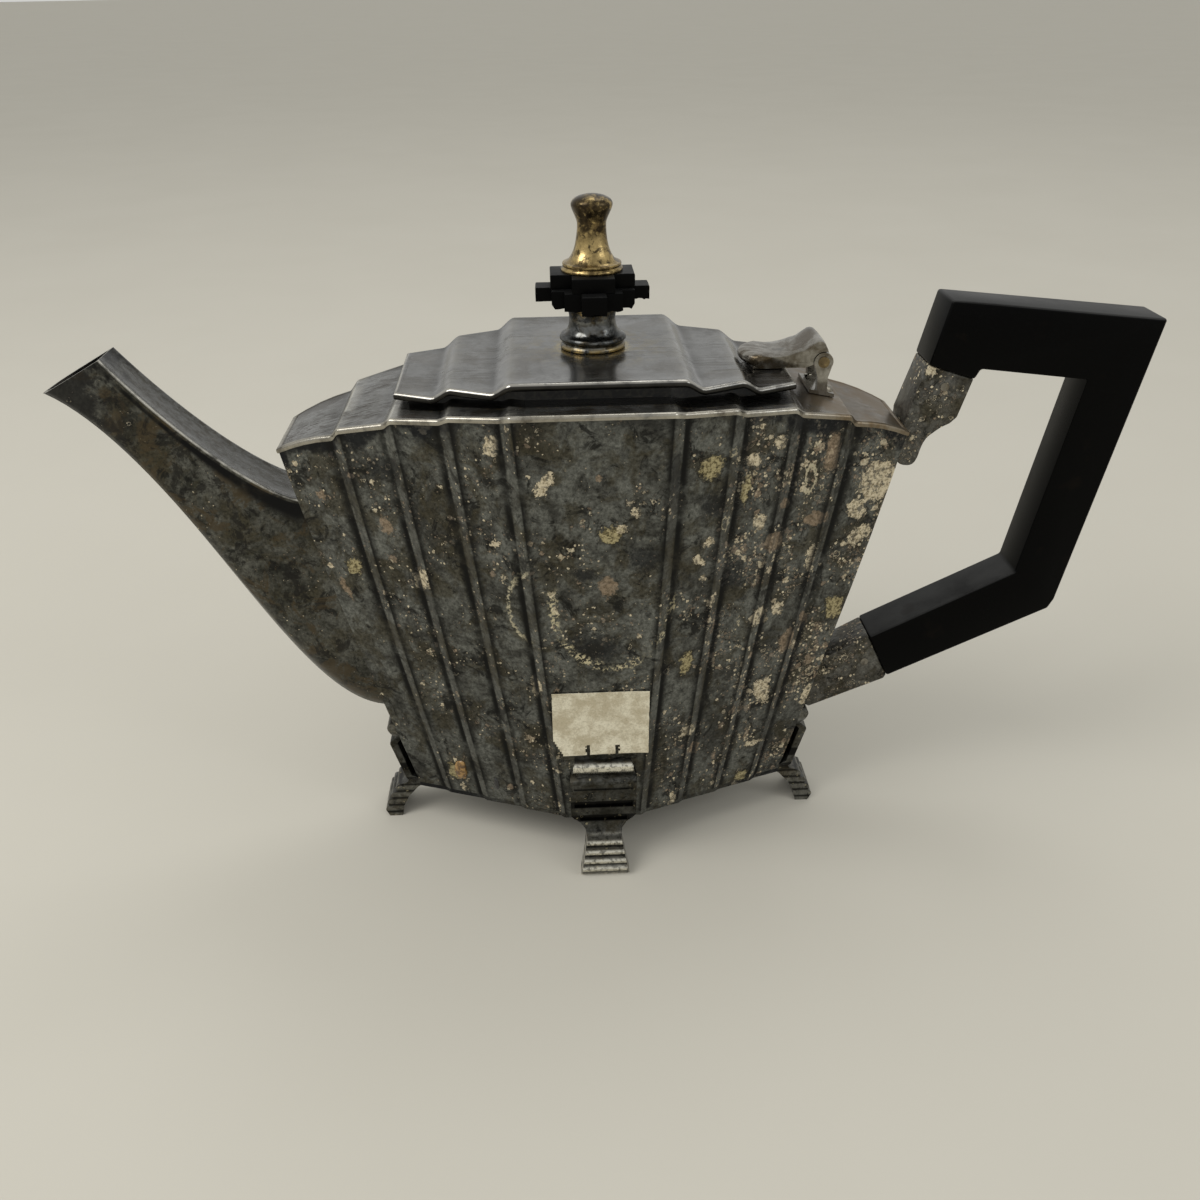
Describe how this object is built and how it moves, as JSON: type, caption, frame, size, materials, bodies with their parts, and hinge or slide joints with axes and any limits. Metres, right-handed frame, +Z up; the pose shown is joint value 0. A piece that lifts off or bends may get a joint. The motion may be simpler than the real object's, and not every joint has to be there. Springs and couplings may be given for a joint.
{
  "type": "teapot",
  "caption": "Stepped-fan teapot with a hinged lid, slanted spout, square black loop handle, stacked knob and four bracket feet.",
  "frame": {"origin": "on the table, under the middle of the whole length from spout tip to handle", "axes": "+X from the spout towards the handle, +Y from the front to the back, +Z up"},
  "size_m": [0.2798, 0.0796, 0.1749],
  "materials": {
    "silver_plate": "heavily tarnished silver plate, dark grey and olive brown with worn cream flecks",
    "worn_silver": "silver plate, smooth and semi-gloss, with fine brown streaks",
    "black_resin": "semi-gloss black moulded resin, dusty at the edges",
    "brass": "worn brass with dark patches",
    "paper": "matt cream paper, aged"
  },
  "bodies": {
    "body": {"body_wall": "silver_plate", "shoulder": "silver_plate", "base_plate": "silver_plate", "throat_ring": "silver_plate", "hinge_bracket": "worn_silver", "hinge_pin": "brass", "spout": "silver_plate", "handle": "black_resin", "upper_socket": "worn_silver", "lower_socket": "worn_silver", "upper_handle_pin": "worn_silver", "lower_handle_pin": "worn_silver", "front_foot": "silver_plate", "back_foot": "silver_plate", "spout_foot": "silver_plate", "handle_foot": "silver_plate", "price_label": "paper"},
    "lid": {"lid": "worn_silver", "lid_flange": "worn_silver", "hinge_leaf": "worn_silver", "knob_pedestal": "worn_silver", "knob_tier_lower": "black_resin", "knob_tier_upper": "black_resin", "knob_finial": "brass", "knob_stud": "brass", "knob_washer": "brass", "knob_nut": "brass"}
  },
  "joints": [
    {"name": "lid_hinge", "type": "hinge", "parent": "body", "child": "lid", "pos_m": [0.05415, 0, 0.1347], "axis": [0, 1, 0], "range_deg": [0, 100]}
  ]
}
